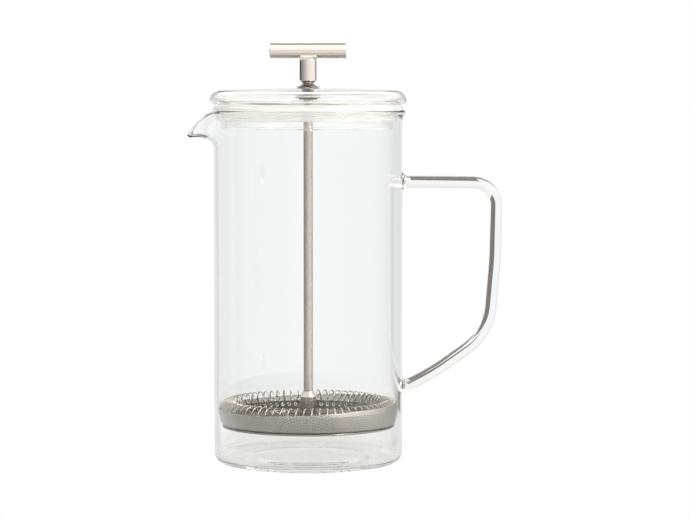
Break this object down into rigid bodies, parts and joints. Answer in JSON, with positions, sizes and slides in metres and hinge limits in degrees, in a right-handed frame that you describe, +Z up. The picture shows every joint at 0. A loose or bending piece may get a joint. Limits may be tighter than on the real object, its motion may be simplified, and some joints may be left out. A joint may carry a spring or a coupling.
{
  "type": "french press",
  "caption": "Glass press pot for coffee: straight beaker with pouring spout and bent glass-rod handle, glass lid, and steel plunger with T knob and mesh filter.",
  "frame": {"origin": "centre of the flat underside of the beaker, on the surface it stands on", "axes": "+Z up along the beaker's and the plunger's axis, -X towards the spout, +X towards the handle"},
  "size_m": [0.167, 0.1044, 0.2223],
  "materials": {
    "clear_glass": "clear blown borosilicate glass",
    "silicone": "translucent satin silicone",
    "guide_plastic": "smooth natural nylon",
    "polished_steel": "polished stainless steel",
    "spring_wire": "bright drawn stainless wire",
    "steel_mesh": "fine woven stainless mesh"
  },
  "bodies": {
    "beaker": {"beaker": "clear_glass", "handle": "clear_glass"},
    "seal": {"lid_seal": "silicone"},
    "lid": {"lid_glass": "clear_glass", "lid_bushing": "polished_steel", "bushing_gasket_upper": "silicone", "bushing_gasket_lower": "silicone", "bushing_washer": "polished_steel", "bushing_nut": "polished_steel"},
    "guide": {"rod_guide": "guide_plastic"},
    "plunger": {"knob_bar": "polished_steel", "knob_stem": "polished_steel", "plunger_rod": "polished_steel", "filter_hub": "polished_steel", "spring_plate": "polished_steel", "coil_spring": "spring_wire", "mesh_screen": "steel_mesh", "mesh_eyelet": "polished_steel", "cross_plate": "polished_steel", "cross_plate_nut": "polished_steel"}
  },
  "joints": [
    {"name": "lid_lift", "type": "slide", "parent": "beaker", "child": "seal", "axis": [0, 0, 1], "range_m": [0, 0.18]},
    {"name": "lid_turn", "type": "hinge", "parent": "seal", "child": "lid", "pos_m": [0, 0, 0.19], "axis": [0, 0, 1], "continuous": true},
    {"name": "plunger_turn", "type": "hinge", "parent": "lid", "child": "guide", "pos_m": [0, 0, 0.197], "axis": [0, 0, 1], "continuous": true},
    {"name": "plunger_slide", "type": "slide", "parent": "guide", "child": "plunger", "axis": [0, 0, 1], "range_m": [0, 0.143]}
  ]
}
